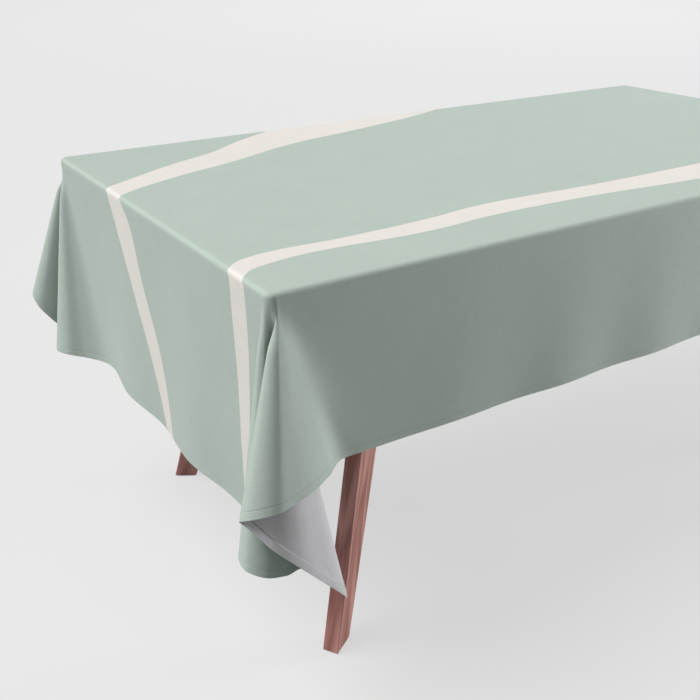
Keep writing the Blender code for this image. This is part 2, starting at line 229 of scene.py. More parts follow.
floor_mesh.materials.append(floor_paint)
print("floor", 2 * FLOOR_REACH, "m wide")

# %% [markdown]
# ## How the cloth lies
# A flat sheet covers a box in only one way without creasing: flat on top and plain down each side. What is
# left at each corner is a quarter sheet with nowhere to go, so it stands out in folds that spread downwards
# from the corner, as a paper cone does. Such a fold hardly stretches: each line that leaves the corner stays
# straight, and only its direction is chosen. Nearer the table the folds here are made rounder, which
# squeezes the sheet there a little. A simulation finds folds of its own; here the directions are chosen,
# so that these are the folds this cloth has.
# %% Sizes
# All in metres. The printed face lies BELOW_SOLID under the top of the solid that stands for the cloth.
# SHELL is the cloth's clearance round the table's top, CORNER the radius at which it rounds the top's
# corners, and EDGE_BEND the radius of its turn over the edge. HEM is the width of the turned hem and
# HEM_GAP its distance behind the sheet.
BELOW_SOLID = 0.0002
SHELL = 0.0025
TABLETOP_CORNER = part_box("tabletop")[1]
HALF_LENGTH = TABLETOP_CORNER.x + SHELL
HALF_WIDTH = TABLETOP_CORNER.y + SHELL
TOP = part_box("tablecloth")[1].z - BELOW_SOLID
LONG_DROP = 0.280
END_DROP = 0.392
CORNER = 0.0145
EDGE_BEND = 0.0078
CLOTH_THICKNESS = 0.0004
HEM = 0.013
HEM_GAP = 0.0010
FLAT = (2 * (HALF_LENGTH + END_DROP), 2 * (HALF_WIDTH + LONG_DROP))
print("flat cloth", [round(x, 3) for x in FLAT], "m inside its hems")

# %% Directions of the corner folds
# Each fold leaves the long side at a first angle and joins the end at a last one, where 0 is straight down
# the long side and 90 straight down the end. Between them, each pair is a place that the hanging cloth
# passes through: how far it leans along the long side, and how far along the end, for each metre of its
# length.
NEAR_FOLD = (-25, 104, [
    (0.33, 0.00), (0.19, -0.115), (0.09, -0.18), (-0.08, -0.24), (-0.165, -0.255), (-0.235, -0.215),
    (-0.275, -0.14), (-0.26, -0.075), (-0.20, -0.12), (-0.14, -0.175), (-0.05, -0.195), (0.05, -0.175),
    (0.16, -0.11), (0.16, -0.055), (0.08, -0.04), (-0.03, -0.12), (-0.11, -0.135), (-0.16, -0.09),
    (-0.155, -0.02), (-0.05, 0.06), (0.01, 0.13),
])
FAR_FOLD = (-21, 116, [
    (0.22, -0.085), (0.09, -0.21), (-0.05, -0.29), (-0.165, -0.30), (-0.26, -0.25), (-0.30, -0.16),
    (-0.27, -0.09), (-0.20, -0.05), (-0.02, -0.07), (0.16, -0.08), (0.21, 0.00), (0.16, 0.07), (0.00, 0.07),
    (-0.12, 0.04), (-0.18, 0.09), (-0.20, 0.15), (-0.17, 0.22), (-0.09, 0.275), (-0.02, 0.35),
])
print("places in the two folds:", len(NEAR_FOLD[2]), "and", len(FAR_FOLD[2]))

# %% From places to rays
# All in degrees. Rays are worked out ANGLE_STEP apart, from PLAIN_BEFORE ahead of a fold's first angle,
# where the cloth still lies flat in the long side. The curve has a plain place LEAD outside each end, which
# gives it its direction there. Close to the table the cloth is too stiff for a sharp fold, so there a ray
# is a mean of its neighbours under a bell SOFTEN wide. This fades out over the SOFT_FADE before SOFT_UNTIL,
# so the layers further in keep their sharp shape.
ANGLE_STEP = 0.05
PLAIN_BEFORE = 36.0
LEAD = 10
SOFTEN = 9.0
SOFT_UNTIL = 10.0
SOFT_FADE = 14.0


def ease(t):
    """0 below 0, 1 above 1, and 3t^2 - 2t^3 between."""
    t = np.clip(t, 0, 1)
    return t * t * (3 - 2 * t)


def plain_ray(angle):
    """A ray that lies flat in the long side, below 0 degrees, or in the end, above 90."""
    over = np.radians(np.minimum(angle, 0))
    past = np.radians(np.maximum(angle - 90, 0))
    return np.stack([-np.sin(over), np.sin(past), -np.cos(over) * np.cos(past)], -1)


def at_places(x, knots, points):
    """Points on a line at the places x: each coordinate runs straight between its values at the knots."""
    return np.stack([np.interp(x, knots, points[:, i]) for i in range(3)], -1)


def fold_directions(first, last, leans, samples=4000):
    """The fold's rays by angle: a smooth curve on the unit sphere through the leans, run at even speed.

    The two leans follow cubic curves over the length travelled, and the downward part makes each direction
    one long. Rays that are one degree apart on the flat sheet are then one degree apart here as well.
    """
    plain = plain_ray(np.array([first - LEAD, first, last, last + LEAD]))[:, :2]
    places = np.concatenate([plain[:2], leans, plain[2:]])
    knots = np.r_[0, np.cumsum(np.linalg.norm(np.diff(places, axis=0), axis=1))]
    fine = np.linspace(knots[1], knots[-2], samples)
    lean = np.stack([smooth_through(fine, knots, places[:, i]) for i in (0, 1)], 1)
    rays = np.concatenate([lean, -np.sqrt(1 - (lean**2).sum(1, keepdims=True))], 1)
    travelled = np.r_[0, np.cumsum(np.linalg.norm(np.diff(rays, axis=0), axis=1))]
    even = first + (last - first) * travelled / travelled[-1]
    print("fold stretched", round(math.radians(last - first) / travelled[-1], 4))
    known = np.arange(first - PLAIN_BEFORE, last, ANGLE_STEP)
    sharp = np.where((known < first)[:, None], plain_ray(known), at_places(known, even, rays))
    return known, sharp, soften(known, sharp)


def soften(known, rays):
    """The same fold, rounder: each ray is the mean of its neighbours under a bell SOFTEN degrees wide.

    Plain rays are added before and after the fold, so that the mean has neighbours everywhere.
    """
    reach = np.arange(-3 * SOFTEN, 3 * SOFTEN, ANGLE_STEP)
    bell = np.exp(-0.5 * (reach / SOFTEN) ** 2)
    bell /= bell.sum()
    room = len(reach)
    before = plain_ray(known[0] - ANGLE_STEP * np.arange(room, 0, -1))
    after = plain_ray(known[-1] + ANGLE_STEP * np.arange(1, room + 1))
    padded = np.concatenate([before, rays, after])
    smooth = np.stack([np.convolve(padded[:, i], bell, "same") for i in range(3)], 1)[room:-room]
    share = ease((known - known[0]) / (2 * SOFTEN)) * ease((SOFT_UNTIL - known) / SOFT_FADE)
    return rays + share[:, None] * (smooth - rays)


def smooth_through(x, knots, values):
    """Cubic Hermite curve through values at knots, with slopes from three neighbouring values."""
    slopes = np.gradient(values, knots)
    place = np.clip(np.searchsorted(knots, x, side="right") - 1, 0, len(knots) - 2)
    width = knots[place + 1] - knots[place]
    t = (x - knots[place]) / width
    start = (2 * t**3 - 3 * t**2 + 1) * values[place] + (t**3 - 2 * t**2 + t) * width * slopes[place]
    end = (3 * t**2 - 2 * t**3) * values[place + 1] + (t**3 - t**2) * width * slopes[place + 1]
    return start + end


near_fold = fold_directions(*NEAR_FOLD)
far_fold = fold_directions(*FAR_FOLD)

# %% Where a point of the flat sheet goes
# In metres. A fold fades in over RAMP below the table's edge. Between the two distances of SOFT_REACH from
# the corner, the soft fold turns into the sharp one.
RAMP = 0.07
SOFT_REACH = (0.13, 0.305)


def fold_offset(fold, angle, reach):
    """How far a ray of the corner stands from its plain place, in the corner's own directions.

    The plain place lies in one of the two sides, or straight down between them. The offset is the difference
    of the two directions times the distance from the corner, faded in over RAMP, because the cloth first
    follows the table's rounded corner.
    """
    known, sharp, soft = fold
    sharpness = ease((reach - SOFT_REACH[0]) / (SOFT_REACH[1] - SOFT_REACH[0]))[..., None]
    soft_ray = at_places(angle, known, soft)
    sharp_ray = at_places(angle, known, sharp)
    folded = soft_ray + sharpness * (sharp_ray - soft_ray)
    inside = (angle >= known[0]) & (angle <= known[-1])
    weight = np.where(inside, reach * ease((reach - EDGE_BEND) / RAMP), 0)
    return weight[..., None] * (folded - plain_ray(angle))


print("folds fade in over", RAMP, "m")


# %% Columns round the table
# Going round the table, each side is a run of straight columns and each corner a fan of rays. A row is a
# share of the way from the table's edge to the hem.
def spread(start, stop, fine, coarse, margin, samples=4001):
    """Places from start to stop, fine apart near both ends and coarse apart in the middle.

    The gap grows from half a margin to one and a half margins away from the nearer end.
    """
    grid = np.linspace(start, stop, samples)
    near = np.minimum(grid - start, stop - grid)
    step = fine + (coarse - fine) * ease(near / margin - 0.5)
    count = np.r_[0, np.cumsum(np.diff(grid) / ((step[1:] + step[:-1]) / 2))]
    total = int(round(count[-1]))
    return np.interp(np.linspace(0, count[-1], total + 1), count, grid)


def fan_angles(fold, widest=1.6, turn=9.0):
    """Ray angles from 0 to 90 degrees, close together where the fold turns sharply.

    A gap is at most about widest degrees wide, and the fold bends by at most about turn degrees in it.
    """
    known, rays, _ = fold
    way = np.gradient(rays, np.radians(known), axis=0)
    way /= np.linalg.norm(way, axis=1)[:, None]
    bend = np.degrees(np.arccos(np.clip((way[1:] * way[:-1]).sum(1), -1, 1)))
    amount = np.r_[0, np.cumsum(np.diff(known) / widest + bend / turn)]
    at = np.interp([0.0, 90.0], known, amount)
    angles = np.interp(np.linspace(at[0], at[1], int(round(at[1] - at[0])) + 1), amount, known)
    angles[0] = 0.0
    angles[-1] = 90.0
    return angles


LONG_PLACES = spread(-(HALF_LENGTH - CORNER), HALF_LENGTH - CORNER, 0.005, 0.022, 0.16)
END_PLACES = spread(-(HALF_WIDTH - CORNER), HALF_WIDTH - CORNER, 0.005, 0.018, 0.16)
print("columns:", len(LONG_PLACES), "on a long side,", len(END_PLACES), "on an end")


# %% Rows down the sheet
# The first rows turn over the table's edge, the next fall to the hem's seam, and HEM_ROWS are heights above
# the hem's edge in metres. FALL_POWER, above 1, sets the falling rows closer together near the top, and
# SWELL_POWER says how a side's swell grows with depth.
BEND_STEPS = 5
FALL_ROWS = 34
FALL_POWER = 1.15
SWELL_POWER = 1.4
BEND = np.linspace(0, math.pi / 2, BEND_STEPS + 1)[:-1]
FALL = np.linspace(0, 1, FALL_ROWS + 1) ** FALL_POWER
HEM_ROWS = np.array([0.0095, 0.0060, 0.0030, 0.0010, 0.0])


def depths(full_depth):
    """The rows' depths below the table's edge: shares of the way to the hem, then the hem's own rows."""
    fall = EDGE_BEND + FALL[:, None] * (full_depth(HEM) - EDGE_BEND)
    return np.concatenate([fall, [full_depth(above) for above in HEM_ROWS]])


def bent_over_edge(base, outward, depth, offset):
    """Points of some columns: a quarter turn over the table's edge, then straight down plus the offset."""
    back = EDGE_BEND * (1 - np.sin(BEND))[:, None, None] * outward
    down = np.broadcast_to(TOP - EDGE_BEND * (1 - np.cos(BEND))[:, None, None], (len(BEND), len(base), 1))
    turn = np.concatenate([base - back, down], 2)
    plain = np.concatenate([np.broadcast_to(base, (len(depth), *base.shape)), TOP - depth[..., None]], 2)
    return np.concatenate([turn, plain + offset])


def past_edge(depth):
    """How far past the table's edge each point lies on the flat sheet; the turn's rows lie before it."""
    turn = -EDGE_BEND * (1 - np.sin(BEND))[:, None] * np.ones(depth.shape[1])
    return np.concatenate([turn, depth])


def wave(places, knots, depth, drop):
    """The side's gentle swell: a smooth curve along the side, growing with a power of the depth."""
    at, out = np.array(knots, float).T
    return smooth_through(np.clip(places, at[0], at[-1]), at, out) * (depth / drop) ** SWELL_POWER


print("rows:", BEND_STEPS, "in the turn,", len(FALL), "in the fall,", len(HEM_ROWS), "in the hem")

# %% Sides and corners
# How far each side's hem swells outwards, in metres, by place along it from its left or front corner.
SWELLS = {
    "front": [(-0.82, 0), (-0.6, 0), (-0.5, 0.003), (-0.38, 0), (-0.27, 0.006), (-0.15, 0.001),
              (-0.05, 0.006), (0.08, 0), (0.2, 0.007), (0.32, 0.001), (0.45, 0.007), (0.6, 0), (0.82, 0)],
    "back": [(-0.82, 0), (-0.5, 0.002), (-0.2, 0.009), (0.1, 0.001), (0.4, 0.008), (0.6, 0), (0.82, 0)],
    "left": [(-0.44, 0), (-0.278, 0), (-0.17, 0.015), (-0.02, 0.004), (0.13, 0.015), (0.24, 0), (0.44, 0)],
    "right": [(-0.44, 0), (-0.26, 0.002), (-0.12, 0.012), (0.03, 0.002), (0.17, 0.013), (0.28, 0),
              (0.44, 0)],
}
# The start of a ray moves round the table's rounded corner with its angle: a share START_EVENLY of the way
# evenly, and the rest only past the share START_LATE of the angles.
START_EVENLY = 0.2
START_LATE = 0.35
# Each corner is named by its side along x and along y. Opposite corners have the same fold.
FOLDS = {(-1, -1): near_fold, (-1, 1): far_fold, (1, 1): near_fold, (1, -1): far_fold}
TIP = math.degrees(math.atan2(END_DROP + CORNER, LONG_DROP + CORNER))


def side(name, places):
    """Points and flat places of one side's columns, at places along it."""
    long_side = name in ("front", "back")
    sign = -1 if name in ("front", "left") else 1
    half_run, half_out = (HALF_LENGTH, HALF_WIDTH) if long_side else (HALF_WIDTH, HALF_LENGTH)
    drop = LONG_DROP if long_side else END_DROP
    depth = depths(lambda above: np.full(len(places), drop - above))
    run, out = (0, 1) if long_side else (1, 0)
    base = np.zeros((len(places), 2))
    base[:, run] = places
    base[:, out] = sign * half_out
    outward = np.zeros(2)
    outward[out] = sign
    offset = np.zeros((*depth.shape, 3))
    for end in (-1, 1):
        away = half_run - CORNER - end * places
        lean = np.degrees(np.arctan2(away, depth))
        corner = (end, sign) if long_side else (sign, end)
        turned = fold_offset(FOLDS[corner], -lean if long_side else 90 + lean, np.hypot(away, depth))
        offset += turned * (-corner[0], -corner[1], 1)
    offset[..., out] += sign * wave(places, SWELLS[name], depth, drop)
    points = bent_over_edge(base, outward, depth, offset)
    return points, base + past_edge(depth)[..., None] * outward


def fan(corner, angles):
    """Points and flat places of one corner's rays, from the long side, at 0, to the end, at 90 degrees.

    The rays start from the rounded corner of the table, and more of them from its part beside the long side.
    """
    turn = np.radians(angles)

    def full_depth(above):
        long_reach = (LONG_DROP + CORNER - above) / np.maximum(np.cos(turn), 1e-6)
        end_reach = (END_DROP + CORNER - above) / np.maximum(np.sin(turn), 1e-6)
        return np.minimum(long_reach, end_reach) - CORNER

    depth = depths(full_depth)
    share = angles / 90
    late = ease((share - START_LATE) / (1 - START_LATE))
    start = math.pi / 2 * (START_EVENLY * share + (1 - START_EVENLY) * late)
    flip = np.array(corner)
    middle = flip * (HALF_LENGTH - CORNER, HALF_WIDTH - CORNER)
    outward = np.stack([np.sin(start), np.cos(start)], 1) * flip
    flat_out = np.stack([np.sin(turn), np.cos(turn)], 1) * flip
    offset = fold_offset(FOLDS[corner], np.broadcast_to(angles, depth.shape), depth)
    offset = offset * (-corner[0], -corner[1], 1)
    points = bent_over_edge(middle + CORNER * outward, outward, depth, offset)
    return points, middle + (CORNER + past_edge(depth)[..., None]) * flat_out


def corner_angles(corner):
    """One corner's ray angles, without the two that its sides share and with one through the cloth's tip."""
    angles = fan_angles(FOLDS[corner])
    angles[np.argmin(np.abs(angles - TIP))] = TIP
    return angles[1:-1]


print("cloth's tips hang at", round(TIP, 1), "degrees")


# %% Join the columns into one skirt
# The columns run anticlockwise seen from above, from the front left corner, so each side and fan takes its
# turn.
runs = [
    side("front", LONG_PLACES),
    fan((1, -1), corner_angles((1, -1))),
    side("right", END_PLACES),
    fan((1, 1), corner_angles((1, 1))[::-1]),
    side("back", LONG_PLACES[::-1]),
    fan((-1, 1), corner_angles((-1, 1))),
    side("left", END_PLACES[::-1]),
    fan((-1, -1), corner_angles((-1, -1))[::-1]),
]
skirt = np.concatenate([points for points, _ in runs], 1)
skirt_flat = np.concatenate([flat for _, flat in runs], 1)
print("skirt", skirt.shape[:2], "rows and columns")

# %% Turn the hem
HEM_TURN = 4


def unit(vectors):
    """The same directions, each one long."""
    return vectors / np.maximum(np.linalg.norm(vectors, axis=-1, keepdims=True), 1e-12)


def outward_normals(grid):
    """Each point's outward direction: its way down the sheet crossed with its way round the table."""
    down = np.gradient(grid, axis=0)
    around = np.roll(grid, -1, 1) - np.roll(grid, 1, 1)
    return unit(np.cross(unit(down), unit(around)))


def turned_hem(grid, flat):
    """The hem's rows: a half turn at the edge and the way back up, HEM_GAP behind the sheet."""
    normal = outward_normals(grid)
    down = unit(grid[-1] - grid[-2])
    flat_down = unit(flat[-1] - flat[-2])
    half = HEM_GAP / 2
    swing = np.linspace(0, math.pi, HEM_TURN + 2)[1:-1, None, None]
    turn = grid[-1] - normal[-1] * half * (1 - np.cos(swing)) + down * half * np.sin(swing)
    turn_flat = flat[-1] + flat_down * half * swing
    upwards = slice(-1, -len(HEM_ROWS) - 2, -1)
    back = (grid - normal * HEM_GAP)[upwards]
    back_flat = 2 * flat[-1] - flat[upwards]
    return np.concatenate([turn, back]), np.concatenate([turn_flat, back_flat])


hem, hem_flat = turned_hem(skirt, skirt_flat)
print("hem rows", len(hem), "skirt spans", np.ptp(skirt[..., :2], axis=(0, 1)).round(3))


# %% Mesh of the whole sheet
def grid_faces(index, closed=False):
    """Quads between neighbouring rows and columns of an index grid, facing outwards."""
    right = np.roll(index, -1, 1)
    quads = np.stack([index[:-1], index[1:], right[1:], right[:-1]], -1)
    return (quads if closed else quads[:, :-1]).reshape(-1, 4)


def mesh_object(name, points, faces, flat=None, smooth=True):
    """A mesh object at the origin from points and faces, with the flat places as its UV map."""
    mesh = bpy.data.meshes.new(name)
    mesh.from_pydata(points.tolist(), [], faces)
    if flat is not None:
        used = np.empty(len(mesh.loops), np.int32)
        mesh.loops.foreach_get("vertex_index", used)
        mesh.uv_layers.new(name="flat").uv.foreach_set("vector", flat[used].astype(np.float32).ravel())
    if smooth:
        mesh.shade_smooth()
    made = bpy.data.objects.new(name, mesh)
    scene.collection.objects.link(made)
    return made


def whole_sheet():
    """The skirt, its hem and the top: a rectangle of straight columns with a fan at each corner.

    The skirt's faces come first, row by row, then those of the turned hem, and the top's last.
    """
    rows = np.concatenate([skirt, hem])
    flat = np.concatenate([skirt_flat, hem_flat])
    ring = np.arange(rows.shape[0] * rows.shape[1]).reshape(rows.shape[:2])
    points = [rows.reshape(-1, 3)]
    flats = [flat.reshape(-1, 2)]
    faces = grid_faces(ring, closed=True).tolist()
    x, y = np.meshgrid(LONG_PLACES, END_PLACES)
    inner = ring.size + np.arange(x.size).reshape(x.shape)
    points.append(np.stack([x, y, np.full_like(x, TOP)], -1).reshape(-1, 3))
    flats.append(np.stack([x, y], -1).reshape(-1, 2))
    faces += grid_faces(inner[::-1]).tolist()
    borders = [inner[0], inner[:, -1], inner[-1, ::-1], inner[::-1, 0]]
    fans = [inner[0, -1], inner[-1, -1], inner[-1, 0], inner[0, 0]]
    starts = np.cumsum([0] + [grid.shape[1] for grid, _ in runs])
    for k, (border, centre) in enumerate(zip(borders, fans)):
        edge = ring[0, starts[2 * k]:starts[2 * k + 1]]
        faces += grid_faces(np.array([border, edge])).tolist()
        arc = ring[0, np.arange(starts[2 * k + 1] - 1, starts[2 * k + 2] + 1) % ring.shape[1]]
        faces += np.stack([np.full(len(arc) - 1, centre), arc[:-1], arc[1:]], 1).tolist()
    return np.concatenate(points), np.concatenate(flats), faces


sheet_points, sheet_flats, sheet_faces = whole_sheet()
cloth = mesh_object("cloth", sheet_points, sheet_faces, sheet_flats)
print("cloth", len(sheet_points), "points", len(sheet_faces), "faces")

# %% [markdown]
# ## Stitches
# One row of thread holds the hem down. It shows as small dashes on the printed face and on the back of the
# turned hem. A printed line would look flat from close by, so each dash is a short four-sided rod, a little
# thicker in the middle and half sunk in the cloth.
# %% Stitches
# In metres. The seam lies a share SEAM_SHARE of the way from the row SEAM_ROW, where the hem starts, to the
# next row.
STITCH_LENGTH = 0.0026
STITCH_PITCH = 0.0036
THREAD = 0.00024
THIN_END = 0.6
THREAD_RISE = 0.00004
SEAM_ROW = BEND_STEPS + FALL_ROWS
SEAM_SHARE = 0.35


def stitches(name, lift):
    """Thread dashes evenly round the seam, lift away from the printed face along its outward direction."""
    normal = outward_normals(skirt)[SEAM_ROW]
    line = skirt[SEAM_ROW] + SEAM_SHARE * (skirt[SEAM_ROW + 1] - skirt[SEAM_ROW]) + lift * normal
    line, normal = (np.concatenate([a, a[:1]]) for a in (line, normal))
    travelled = np.r_[0, np.cumsum(np.linalg.norm(np.diff(line, axis=0), axis=1))]
    count = int(travelled[-1] / STITCH_PITCH)
    starts = np.arange(count) * travelled[-1] / count
    spots = starts[:, None] + STITCH_LENGTH * np.array([0, 0.5, 1])
    centre = at_places(spots, travelled, line)
    out = unit(at_places(spots, travelled, normal))
    beside = unit(np.cross(out, centre[:, 2:] - centre[:, :1]))
    width = THREAD * np.array([THIN_END, 1, THIN_END])[:, None, None]
    swing = np.arange(4) * math.pi / 2
    ring = np.cos(swing)[:, None] * out[:, :, None] + np.sin(swing)[:, None] * beside[:, :, None]
    points = (centre[:, :, None] + width * ring).reshape(-1, 3)
    index = np.arange(12).reshape(3, 4)
    rod = np.concatenate([grid_faces(index, closed=True), [index[0, ::-1]], [index[2]]])
    faces = (rod[None, :, ::-1] + index.size * np.arange(count)[:, None, None]).reshape(-1, 4)
    print(name, count, "dashes")
    return mesh_object(name, points, faces.tolist(), smooth=False)


outer_stitches = stitches("hem_stitches_outer", THREAD_RISE)
inner_stitches = stitches("hem_stitches_inner", -HEM_GAP - THREAD_RISE)

# %% [markdown]
# ## Printed cotton
# The print is flat: where a cream band lies on the sheet doesn't change as the sheet folds. So the pattern
# reads the flat places that the mesh keeps as its UV map, in metres. Each band is the space between two
# edge lines, and a Float Curve node holds each line as a few points. The weave is fine relief in the same
# places.
# %% Weave
# The weave is a wave across each set of threads. Slubs, the thread's thick places, are noise drawn out
# along the warp and along the weft. The numbers are waves of noise for each metre.
WEAVE_PITCH = 0.0016
BACK_PITCH = 0.0030
SLUB_WAVES = (26, 420)
CLOUD_WAVES = 9.0
CLOUD_SHARE = 0.25

weave, given, put = group(
    "weave",
    [("Place", "vector"), ("Pitch", "value"), ("Slub", "value")],
    [("Height", "value"), ("Shade", "value")],
)
split = weave.node("ShaderNodeSeparateXYZ", {"Vector": given["Place"]})
counted = [weave.math("DIVIDE", split.outputs[i], given["Pitch"]) for i in (0, 1)]
warp, weft = (weave.math("SINE", weave.math("MULTIPLY", number, math.tau)) for number in counted)
crossing = weave.math("MULTIPLY", warp, weft)
both_ways = [weave.noise(weave.stretch(given["Place"], (*waves, 1)), 1.0, 2.0)
             for waves in (SLUB_WAVES, SLUB_WAVES[::-1])]
slubs = weave.math("MULTIPLY", weave.math("ADD", *both_ways), 0.5)
uneven = weave.math("MULTIPLY", slubs, given["Slub"])
weave.feed(put.inputs["Height"], weave.math("MULTIPLY_ADD", crossing, 0.5, weave.math("ADD", 0.5, uneven)))
cloudy = weave.math("MULTIPLY", weave.noise(given["Place"], CLOUD_WAVES, 4.0), CLOUD_SHARE)
weave.feed(put.inputs["Shade"], weave.math("MULTIPLY_ADD", slubs, 1 - CLOUD_SHARE, cloudy))
print("weave pitch", WEAVE_PITCH * 1000, "mm")

# %% Hem relief
# The seam draws the cloth in: a groove along the stitches and short puckers on both sides of it. Lengths
# are in metres: the seam's place above the hem's edge, and how far from the seam the groove and the puckers
# reach.
SEAM_HEIGHT = HEM - 0.0012
GROOVE_REACH = 0.0016
PUCKER_REACH = 0.022
PUCKER_WAVES = 95.0
PUCKER_DEPTH = 2.2

hem_relief, given, put = group("hem_relief", [("Place", "vector")], [("Height", "value")])
split = hem_relief.node("ShaderNodeSeparateXYZ", {"Vector": given["Place"]})
from_middle = [hem_relief.math("ABSOLUTE", split.outputs[i]) for i in (0, 1)]
inset = [hem_relief.math("SUBTRACT", FLAT[i] / 2, from_middle[i]) for i in (0, 1)]
from_edge = hem_relief.math("MINIMUM", *inset)
from_seam = hem_relief.math("ABSOLUTE", hem_relief.math("SUBTRACT", from_edge, SEAM_HEIGHT))
groove = hem_relief.ramp(from_seam, 0.0, GROOVE_REACH, -1.0, 0.0)
near_seam = hem_relief.ramp(from_seam, 0.0, PUCKER_REACH, 1.0, 0.0)
swelling = hem_relief.math("SUBTRACT", hem_relief.noise(given["Place"], PUCKER_WAVES, 2.0), 0.5)
puckers = hem_relief.math("MULTIPLY", hem_relief.math("MULTIPLY", swelling, near_seam), PUCKER_DEPTH)
hem_relief.feed(put.inputs["Height"], hem_relief.math("ADD", groove, puckers))
print("hem seam", round(SEAM_HEIGHT * 1000, 1), "mm above the edge")

# %% Bands
SAGE = rgb(188, 203, 193)
CREAM = rgb(240, 235, 228)
BACK_WHITE = rgb(232, 232, 234)
# The back's grey is painted shade, put where the weave lies low, between its threads.
BACK_PAINTED_SHADE = rgb(198, 198, 202)
# Band edges as (along, across) in metres from the table's front left corner; they run on over both drops.
WIDENING_TOP = [(-0.40, 0.400), (-0.305, 0.434), (-0.18, 0.496), (0, 0.606), (0.17, 0.705), (0.28, 0.758),
                (0.355, 0.811), (0.49, 0.891), (0.90, 1.18), (2.05, 1.90)]
WIDENING_BASE = [(-0.40, 0.366), (-0.265, 0.396), (-0.13, 0.462), (-0.04, 0.499), (0, 0.540), (0.14, 0.612),
                 (0.26, 0.654), (0.46, 0.737), (0.625, 0.776), (0.865, 0.844), (0.96, 0.883), (1.50, 1.16),
                 (2.05, 1.40)]
STRAIGHT_TOP = [(-0.40, 0.104), (-0.27, 0.106), (-0.18, 0.104), (-0.06, 0.110), (0, 0.116), (0.013, 0.127),
                (0.034, 0.139), (0.215, 0.143), (0.37, 0.150), (0.475, 0.163), (0.76, 0.153), (1.04, 0.152),
                (2.05, 0.168)]
STRAIGHT_BASE = [(-0.40, 0.114), (-0.34, 0.096), (-0.285, 0.085), (-0.22, 0.073), (-0.15, 0.066),
                 (-0.045, 0.065), (0, 0.072), (0.013, 0.085), (0.032, 0.097), (0.35, 0.099), (0.465, 0.108),
                 (0.67, 0.103), (0.94, 0.077), (2.05, 0.060)]
EDGE_SOFTNESS = 0.0012
CURVE_TOP = 2.0


def edge_line(graph, along, points):
    """The across place, in metres from the sheet's middle, of a band edge at an along place."""
    share = graph.ramp(along, -FLAT[0] / 2, FLAT[0] / 2)
    line = graph.node("ShaderNodeFloatCurve", {"Value": share})
    curve = line.mapping.curves[0]
    spots = [((x - HALF_LENGTH) / FLAT[0] + 0.5, y / CURVE_TOP) for x, y in points]
    spots = [(min(max(x, 0), 1), y) for x, y in spots]
    curve.points[0].location, curve.points[1].location = spots[0], spots[-1]
    for spot in spots[1:-1]:
        curve.points.new(*spot)
    line.mapping.update()
    return graph.math("MULTIPLY_ADD", line.outputs["Value"], CURVE_TOP, -HALF_WIDTH)


def band(graph, along, across, base_points, top_points):
    """1 where the place lies between two band edges, 0 outside, with an edge EDGE_SOFTNESS wide."""
    base = edge_line(graph, along, base_points)
    top = edge_line(graph, along, top_points)
    depth = graph.math("MINIMUM", graph.math("SUBTRACT", across, base), graph.math("SUBTRACT", top, across))
    return graph.ramp(depth, -EDGE_SOFTNESS / 2, EDGE_SOFTNESS / 2)


print("bands", len(WIDENING_TOP + WIDENING_BASE), "and", len(STRAIGHT_TOP + STRAIGHT_BASE), "points")

# %% [markdown]
# ## Two faces and a thread
# The front is coated and printed, so its weave is shallow. The back is bare cotton, where the weave shows
# as slanting ribs, in relief and with painted shade in the hollows between them. Two sheets could carry the
# two faces, but one sheet with two materials can't come apart. The thread is one plain colour near that of
# the face it lies on.
# %% Printed face
SEAM_WEIGHT = 3.5
BACK_SEAM_WEIGHT = 2.0
BACK_SLANT = (0, 0, math.radians(45))


def flat_place(graph):
    """The place on the flat sheet, in metres from its middle."""
    return graph.node("ShaderNodeUVMap", uv_map="flat").outputs["UV"]


def woven(graph, place, pitch, slub):
    """The weave's group in a material: its threads are pitch apart, and slub says how uneven they are."""
    inputs = {"Place": place, "Pitch": pitch, "Slub": slub}
    return graph.node("ShaderNodeGroup", inputs, node_tree=weave.tree).outputs


def with_seam(graph, place, height, weight):
    """The weave's height with the hem's relief added, weight times as deep."""
    seam = graph.node("ShaderNodeGroup", {"Place": place}, node_tree=hem_relief.tree).outputs["Height"]
    return graph.math("ADD", height, graph.math("MULTIPLY", seam, weight))


printed, graph = material("printed_cotton", Roughness=0.72, Sheen_Weight=0.12, Sheen_Roughness=0.5)
place = flat_place(graph)
split = graph.node("ShaderNodeSeparateXYZ", {"Vector": place})
along, across = split.outputs[0], split.outputs[1]
widening = band(graph, along, across, WIDENING_BASE, WIDENING_TOP)
straight = band(graph, along, across, STRAIGHT_BASE, STRAIGHT_TOP)
bands = graph.math("MAXIMUM", widening, straight)
threads = woven(graph, place, WEAVE_PITCH, 0.5)
tone = graph.ramp(threads["Shade"], 0.3, 0.7, 0.93, 1.055)
ink = graph.mix(bands, SAGE, CREAM)
graph.feed(graph.shader.inputs["Base Color"], graph.tint(ink, tone))
bump(graph, with_seam(graph, place, threads["Height"], SEAM_WEIGHT), 0.00012, 0.8)
print("printed face ready")

# %% Bare back and thread
backing, graph = material("cotton_back", Roughness=0.8, Sheen_Weight=0.1)
place = flat_place(graph)
slanted = graph.node("ShaderNodeMapping", {"Vector": place, "Rotation": BACK_SLANT}).outputs[0]
threads = woven(graph, slanted, BACK_PITCH, 0.9)
# Painted shade: the back is grey where the weave lies low and white where it stands high.
tone = graph.ramp(threads["Height"], 0.0, 1.4)
graph.feed(graph.shader.inputs["Base Color"], graph.mix(tone, BACK_PAINTED_SHADE, BACK_WHITE))
bump(graph, with_seam(graph, place, threads["Height"], BACK_SEAM_WEIGHT), 0.0003, 0.9)

for piece, shade in ((outer_stitches, rgb(176, 190, 180)), (inner_stitches, rgb(226, 226, 228))):
    thread, graph = material(f"thread_{piece.name}", Roughness=0.7, Sheen_Weight=0.2)
    twist = graph.noise(graph.node("ShaderNodeTexCoord").outputs["Object"], 2600.0, 2.0)
    tone = graph.ramp(twist, 0.3, 0.7, 0.88, 1.0)
    graph.feed(graph.shader.inputs["Base Color"], graph.tint(shade[:3], tone))
    piece.data.materials.append(thread)
print("cloth finishes ready")

